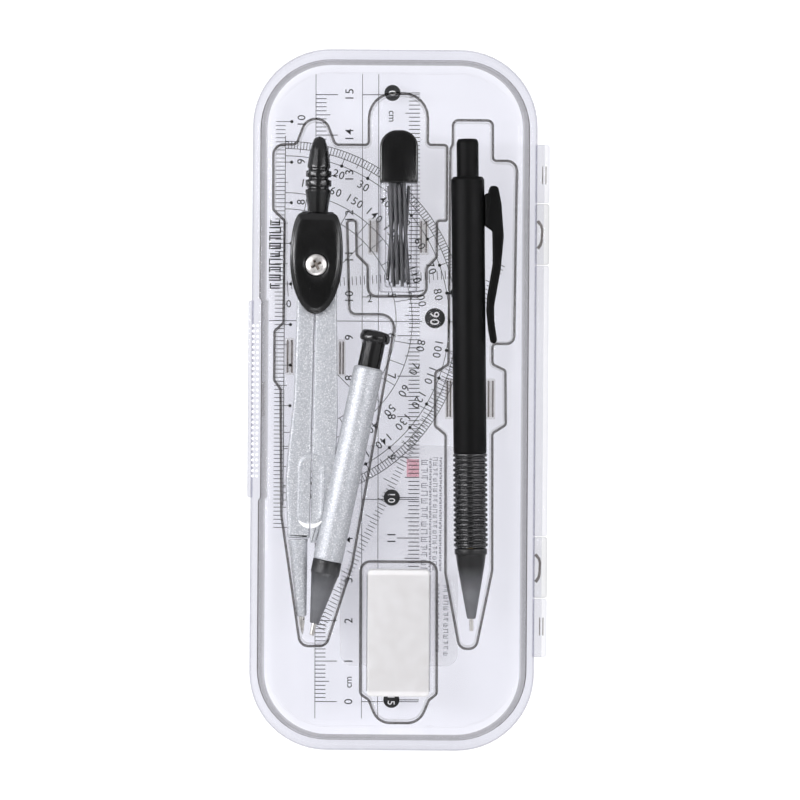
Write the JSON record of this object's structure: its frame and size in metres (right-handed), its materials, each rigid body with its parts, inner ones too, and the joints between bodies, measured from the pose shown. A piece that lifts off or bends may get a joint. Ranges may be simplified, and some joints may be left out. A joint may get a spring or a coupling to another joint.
{
  "type": "drafting compass set",
  "caption": "Hinged clear case with a moulded tray of drafting tools: compass, lead vial, mechanical pencil, eraser, ruler, protractor and set squares.",
  "frame": {"origin": "middle of the closed case's outer box, on the flat underside", "axes": "+Z out of the closed lid, +Y along the case from the eraser end to the vial end, +X towards the hinge"},
  "size_m": [0.0734, 0.1712, 0.0177],
  "materials": {
    "clear": "clear polished polystyrene",
    "sheet": "clear printed acrylic sheet",
    "black": "satin black moulded plastic",
    "rubber": "fine matt ribbed plastic",
    "cone": "dark grey moulded plastic",
    "silver": "silver sparkle coat",
    "steel": "bright nickel",
    "brass": "turned brass",
    "white": "matt white vinyl",
    "paper": "pale grey printed sticker",
    "graphite": "dark grey graphite and dark moulded inner tube"
  },
  "bodies": {
    "case": {"case_base": "clear", "base_label": "paper"},
    "lid": {"case_lid": "clear"},
    "tray": {"insert_tray": "clear"},
    "ruler": {"ruler": "sheet"},
    "protractor": {"protractor": "sheet"},
    "set_square_60": {"set_square_60": "sheet"},
    "set_square_45": {"set_square_45": "sheet"},
    "compass_head": {"compass_handle": "black", "compass_cover_front": "black", "compass_cover_back": "black", "pivot_screw": "steel", "pivot_nut": "steel"},
    "needle_leg": {"needle_leg": "silver", "needle_holder": "steel", "needle": "steel"},
    "pencil_leg": {"pencil_leg": "silver", "small_pencil_barrel": "silver", "small_pencil_cone": "cone", "small_pencil_sleeve": "steel", "small_pencil_spring": "steel"},
    "small_pencil_button": {"small_pencil_button": "black", "small_pencil_lead_tube": "graphite", "small_pencil_chuck": "brass", "small_pencil_lead": "graphite"},
    "pencil": {"pencil_barrel": "black", "pencil_clip": "black", "pencil_grip": "rubber", "pencil_cone": "black", "pencil_sleeve": "steel", "pencil_spring": "steel", "pencil_chuck_ring": "brass"},
    "pencil_button": {"pencil_button": "black", "pencil_lead_tube": "graphite", "pencil_chuck": "brass", "pencil_lead": "graphite"},
    "vial": {"vial_tube": "clear", "spare_lead_1": "graphite", "spare_lead_2": "graphite", "spare_lead_3": "graphite", "spare_lead_4": "graphite", "spare_lead_5": "graphite", "spare_lead_6": "graphite", "spare_lead_7": "graphite", "spare_lead_8": "graphite", "spare_lead_9": "graphite", "spare_lead_10": "graphite", "spare_lead_11": "graphite", "spare_lead_12": "graphite"},
    "vial_cap": {"vial_cap": "black"},
    "eraser": {"eraser": "white", "eraser_wrap": "clear"}
  },
  "joints": [
    {"name": "lid_hinge", "type": "hinge", "parent": "case", "child": "lid", "pos_m": [0.03505, 0, 0.01205], "axis": [0, 1, 0], "range_deg": [0, 180]},
    {"name": "tray_lift", "type": "slide", "parent": "case", "child": "tray", "axis": [0, 0, 1], "range_m": [0, 0.0157]},
    {"name": "ruler_lift", "type": "slide", "parent": "case", "child": "ruler", "axis": [0, 0, 1], "range_m": [0, 0.0125]},
    {"name": "protractor_lift", "type": "slide", "parent": "case", "child": "protractor", "axis": [0, 0, 1], "range_m": [0, 0.0131]},
    {"name": "square60_lift", "type": "slide", "parent": "case", "child": "set_square_60", "axis": [0, 0, 1], "range_m": [0, 0.0137]},
    {"name": "square45_lift", "type": "slide", "parent": "case", "child": "set_square_45", "axis": [0, 0, 1], "range_m": [0, 0.0143]},
    {"name": "compass_lift", "type": "slide", "parent": "case", "child": "compass_head", "axis": [0, 0, 1], "range_m": [0, 0.1]},
    {"name": "pencil_lift", "type": "slide", "parent": "case", "child": "pencil", "axis": [0, 0, 1], "range_m": [0, 0.028]},
    {"name": "vial_lift", "type": "slide", "parent": "case", "child": "vial", "axis": [0, 0, 1], "range_m": [0, 0.062]},
    {"name": "eraser_lift", "type": "slide", "parent": "case", "child": "eraser", "axis": [0, 0, 1], "range_m": [0, 0.05]},
    {"name": "needle_leg_swing", "type": "hinge", "parent": "compass_head", "child": "needle_leg", "pos_m": [-0.02025, 0.0329, 0.011], "axis": [0, 0, -1], "range_deg": [0, 25]},
    {"name": "pencil_leg_swing", "type": "hinge", "parent": "compass_head", "child": "pencil_leg", "pos_m": [-0.02025, 0.0329, 0.011], "axis": [0, 0, 1], "range_deg": [0, 25]},
    {"name": "small_pencil_push", "type": "slide", "parent": "pencil_leg", "child": "small_pencil_button", "axis": [-0.2018, -0.9794, 0], "range_m": [0, 0.0022], "stiffness_N_per_m": 150, "springref_m": -0.002},
    {"name": "pencil_push", "type": "slide", "parent": "pencil", "child": "pencil_button", "axis": [0.0149, -0.9999, 0], "range_m": [0, 0.0028], "stiffness_N_per_m": 200, "springref_m": -0.002},
    {"name": "vial_cap_pull", "type": "slide", "parent": "vial", "child": "vial_cap", "axis": [0, 1, 0], "range_m": [0, 0.008]}
  ],
  "couplings": [
    {"joint": "tray_lift", "follows": "lid_hinge", "m_per_rad": 0.0049974},
    {"joint": "ruler_lift", "follows": "lid_hinge", "m_per_rad": 0.0039788},
    {"joint": "protractor_lift", "follows": "lid_hinge", "m_per_rad": 0.0041698},
    {"joint": "square60_lift", "follows": "lid_hinge", "m_per_rad": 0.0043608},
    {"joint": "square45_lift", "follows": "lid_hinge", "m_per_rad": 0.0045518},
    {"joint": "compass_lift", "follows": "lid_hinge", "m_per_rad": 0.031831},
    {"joint": "pencil_lift", "follows": "lid_hinge", "m_per_rad": 0.0089126},
    {"joint": "vial_lift", "follows": "lid_hinge", "m_per_rad": 0.019735},
    {"joint": "eraser_lift", "follows": "lid_hinge", "m_per_rad": 0.015915},
    {"joint": "needle_leg_swing", "follows": "lid_hinge", "ratio": 0.13888},
    {"joint": "pencil_leg_swing", "follows": "lid_hinge", "ratio": 0.13888}
  ]
}
